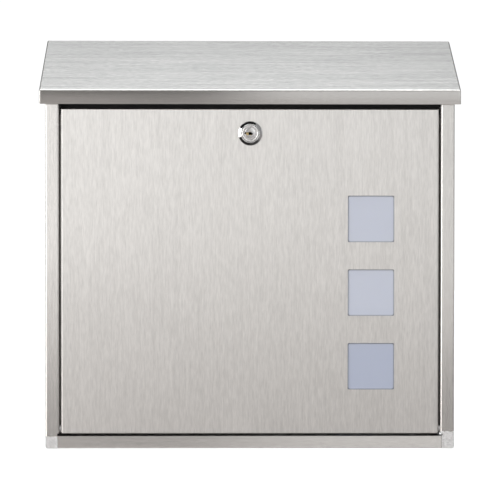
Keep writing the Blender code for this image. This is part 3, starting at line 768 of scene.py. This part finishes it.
# ================================================================ studio
scene = bpy.context.scene
scene.view_settings.view_transform = "Standard"
scene.view_settings.look = "None"

world = bpy.data.worlds.new("studio")
scene.world = world
world.use_nodes = True
wt = world.node_tree
wt.nodes.clear()
g = Graph(wt)
out = g.node("ShaderNodeOutputWorld")
tc = g.node("ShaderNodeTexCoord")
dx, dy, dz = g.split(tc.outputs["Generated"])
az = g.math("ARCTAN2", dx, g.math("MULTIPLY", dy, -1.0)) * (180.0 / math.pi)
el = g.math("ARCSINE", dz) * (180.0 / math.pi)
front_half = g.step(dy, 0.10, -0.10)


def window_of(a0, a1, e0, e1, soft_a=2.0, soft_e=2.0):
    return (
        g.step(az, a0 - soft_a, a0 + soft_a)
        * g.step(az, a1 + soft_a, a1 - soft_a)
        * g.step(el, e0 - soft_e, e0 + soft_e)
        * g.step(el, e1 + soft_e, e1 - soft_e)
    )


# Room in front of the object: light above the horizon, darker floor below it that is lit again further
# down.  A dark screen stands a little left of the middle, a tall soft box further left.
below = g.mix(g.step(el, -9.0, -22.0), 0.42, 0.98)
below = g.mix(g.step(el, -46.0, -60.0), below, 0.45)
above = g.mix(g.step(el, 5.0, 13.0), 0.95, 1.20)
above = g.mix(g.step(el, 17.0, 32.0), above, 0.35)
room = g.mix(g.step(el, -4.5, -2.9), below, above)
band = g.step(el, -4.6, -3.4) * g.step(el, 1.0, -0.8)
room = room * (1.0 + band * 0.08)
right_low = g.step(az, 12.0, 30.0) * g.step(el, -3.0, -4.5) * g.step(el, -24.0, -16.0)
room = g.mix(right_low, room, 0.42)
right_far = g.step(az, 36.0, 52.0) * g.step(az, 76.0, 68.0)
room = g.mix(right_far, room, 0.30)
dim = g.step(az, -44.0, -48.0) * g.step(az, -84.0, -78.0) * g.step(el, -15.0, -13.0)
room = g.mix(dim, room, 0.30)
left_box = g.math(
    "MAXIMUM", window_of(-46.0, -19.0, -3.7, 28.0, 2.0, 0.8), window_of(-73.0, -56.0, -3.7, 28.0, 1.5, 0.8)
)
forward = g.math("MULTIPLY", dy, -1.0)
ring = g.step(forward, 0.30, 0.335) * g.step(forward, 0.525, 0.49)
left_low = window_of(-73.0, -36.0, -9.6, -3.0, 2.0, 1.2)
room = g.mix(left_box, room, 3.05)
room = g.mix(left_low, room, 4.2)
room = g.mix(window_of(-40.0, -27.0, -13.0, -3.6, 2.0, 0.8), room, 1.1)
room = g.mix(window_of(-33.0, -19.0, 24.0, 40.0, 2.0, 3.0), room, 2.8)
room = g.mix(window_of(14.0, 42.0, 11.0, 40.0, 3.0, 3.0), room, 1.9)
room = room * (1.0 - window_of(2.4, 13.0, -24.0, 42.0, 1.0, 5.0) * 0.20)
screen = window_of(-17.0, 0.9, -24.0, 42.0, 0.7, 6.0)
room = room * (1.0 - window_of(-2.3, 0.9, -24.0, 42.0, 0.7, 6.0) * 0.38)
room = room * (1.0 - screen * g.mix(g.step(el, 3.0, 9.0), 0.41, 0.84))
high = g.step(el, 47.0, 55.0)
front = g.mix(high, room, 0.85)
front = g.mix(window_of(-40.0, -11.0, 33.0, 56.0, 2.0, 2.0), front, 2.2)
front = g.mix(window_of(13.0, 40.0, 33.0, 56.0, 2.0, 2.0), front, 2.2)
front = g.mix(window_of(-11.0, 13.0, 49.0, 57.0, 2.0, 1.5), front, 1.8)
# black cards in a ring about the middle: what the lock's polished cone shows
front = g.mix(ring * window_of(-73.0, -52.0, -16.4, -3.0, 2.0, 0.6), front, 2.4)
front = g.mix(ring * g.step(el, 47.0, 55.0), front, 0.012)
front = g.mix(ring * g.step(az, -36.0, -44.0) * g.step(el, 27.6, 29.2), front, 0.02)
front = g.mix(ring * g.step(az, -26.0, -34.0) * g.step(el, -15.6, -17.6), front, 0.02)
front = g.mix(ring * g.step(az, 0.0, -4.0) * g.step(el, -44.0, -50.0), front, 0.03)
front = g.mix(ring * g.step(az, -6.0, -2.0) * g.step(el, -18.0, -44.0), front, 0.06)
# behind the object: a grey room, darker a little to each side, a bright ceiling panel further up
back = g.mix(g.step(el, -14.0, -6.0), 0.80, 0.45)
back = g.mix(g.step(el, 14.0, 30.0), back, 0.22)
back = g.mix(g.step(el, 36.0, 62.0), back, 1.12)
level_ = g.step(el, -14.0, -8.0) * g.step(el, 46.0, 40.0)
back = back * (1.0 - g.step(dx, -0.35, -0.60) * g.step(dx, -0.92, -0.80) * level_ * 0.75)
back = back * (1.0 - g.step(dx, 0.35, 0.60) * g.step(dx, 0.92, 0.80) * level_ * 0.85)
back = g.mix(g.step(dx.abs(), 0.82, 0.94) * g.step(el, 30.0, 20.0), back, 0.55)
back_low = g.step(dx.abs(), 0.40, 0.30) * g.step(el, 34.0, 28.0) * level_
back = back * (1.0 - back_low * 0.65)
back = back * (1.0 - g.step(dx, 0.03, 0.13) * 0.13)
sky = g.mix(front_half, back, front)
overhead = g.mix(front_half, g.step(el, 67.0, 75.0), g.step(el, 75.0, 79.0))
sky = g.mix(overhead, sky, 2.9)
# the front light is a little warm towards the floor, and the backdrop a little cool
warmth = g.mix_colour(g.step(el, -1.0, -5.0), (1.002, 1.0, 0.998), (1.038, 0.992, 0.972))
warmth = g.mix_colour(screen * front_half, warmth, (1.042, 0.994, 0.966))
tint = g.mix_colour(front_half, (0.970, 1.0, 1.025), warmth)

light_path = g.node("ShaderNodeLightPath")
background = g.node("ShaderNodeBackground")
lit = g.vmath("SCALE", tint)
g.put(lit.inputs["Scale"], sky)
g.put(background.inputs["Color"], lit.outputs[0])
background.inputs["Strength"].default_value = 1.0
white = g.node("ShaderNodeBackground")
white.inputs["Color"].default_value = (1, 1, 1, 1)
white.inputs["Strength"].default_value = 1.05
pick = g.node("ShaderNodeMixShader")
g.put(pick.inputs[0], light_path.outputs["Is Camera Ray"])
g.put(pick.inputs[1], background.outputs[0])
g.put(pick.inputs[2], white.outputs[0])
g.put(out.inputs["Surface"], pick.outputs[0])



def soft_box(name, at, target, size, watts, colour=(1, 1, 1)):
    light = bpy.data.lights.new(name, "AREA")
    light.shape = "RECTANGLE"
    light.size, light.size_y = size
    light.energy = watts
    light.color = colour
    o = bpy.data.objects.new(name, light)
    scene.collection.objects.link(o)
    o.location = at
    o.rotation_euler = (Vector(target) - Vector(at)).to_track_quat("-Z", "Y").to_euler()
    o.visible_camera = False
    return o


soft_box("key", (-0.62, -0.85, 0.26), (-0.10, -0.10, 0.05), (0.40, 0.62), 0.62)

# pale floor, well below the box as it hangs
bm = bmesh.new()
bmesh.ops.create_grid(bm, x_segments=8, y_segments=8, size=30.0)
floor_mesh = bpy.data.meshes.new("floor")
bm.to_mesh(floor_mesh)
bm.free()
floor = bpy.data.objects.new("floor", floor_mesh)
scene.collection.objects.link(floor)
floor.location = (0, 0, -1.25)
floor_mat, g, shader = principled("floor_paint", (0.93, 0.93, 0.925), 0.0, 0.85)
at = g.node("ShaderNodeTexCoord").outputs["Object"]
speck = g.noise(at, 40.0, 2.0, 0.5)
base = g.vmath("SCALE", (0.93, 0.93, 0.925))
g.put(base.inputs["Scale"], 1.0 + (speck - 0.5) * 0.01)
g.put(shader.inputs["Base Color"], base.outputs[0])
shader.inputs["Emission Color"].default_value = (1, 1, 1, 1)
shader.inputs["Emission Strength"].default_value = 0.35
floor_mesh.materials.append(floor_mat)
floor.visible_glossy = False
floor.visible_diffuse = False
